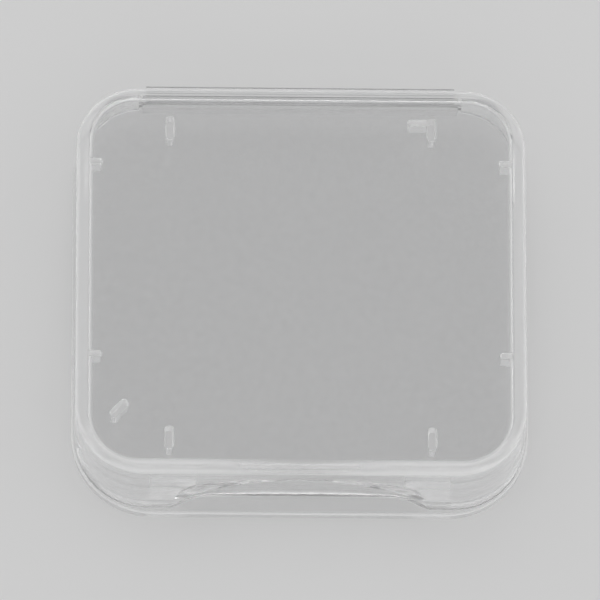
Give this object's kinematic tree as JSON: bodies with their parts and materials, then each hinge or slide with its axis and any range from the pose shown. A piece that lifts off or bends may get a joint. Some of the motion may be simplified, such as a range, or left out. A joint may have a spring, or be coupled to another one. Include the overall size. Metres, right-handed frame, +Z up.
{
  "type": "memory card case",
  "caption": "Small clear plastic clamshell case with a ribbed tray for a memory card, a flat cover with a thumb lip, and a film hinge.",
  "frame": {"origin": "centre of the closed case's box, hinge film included, on the cover's outer face, which the case lies on in the picture", "axes": "+Z up through the case from the cover to the tray's floor, -Y towards the front with the thumb scoop, +Y towards the hinge, +X to the right as seen from the front"},
  "size_m": [0.0374, 0.0362, 0.0056],
  "materials": {
    "clear_tray": "clear, faintly milky polypropylene, moulded gloss",
    "clear_cover": "clear, faintly milky polypropylene, moulded gloss",
    "hinge_film": "thin clear polypropylene film, whitened by bending"
  },
  "bodies": {
    "cover": {"cover": "clear_cover", "hinge_film": "hinge_film"},
    "card_tray": {"card_tray": "clear_tray"}
  },
  "joints": [
    {"name": "tray_hinge", "type": "hinge", "parent": "cover", "child": "card_tray", "pos_m": [0, 0.01816, 0.0028], "axis": [-1, 0, 0], "range_deg": [0, 180], "deforming": ["hinge_film"]}
  ]
}
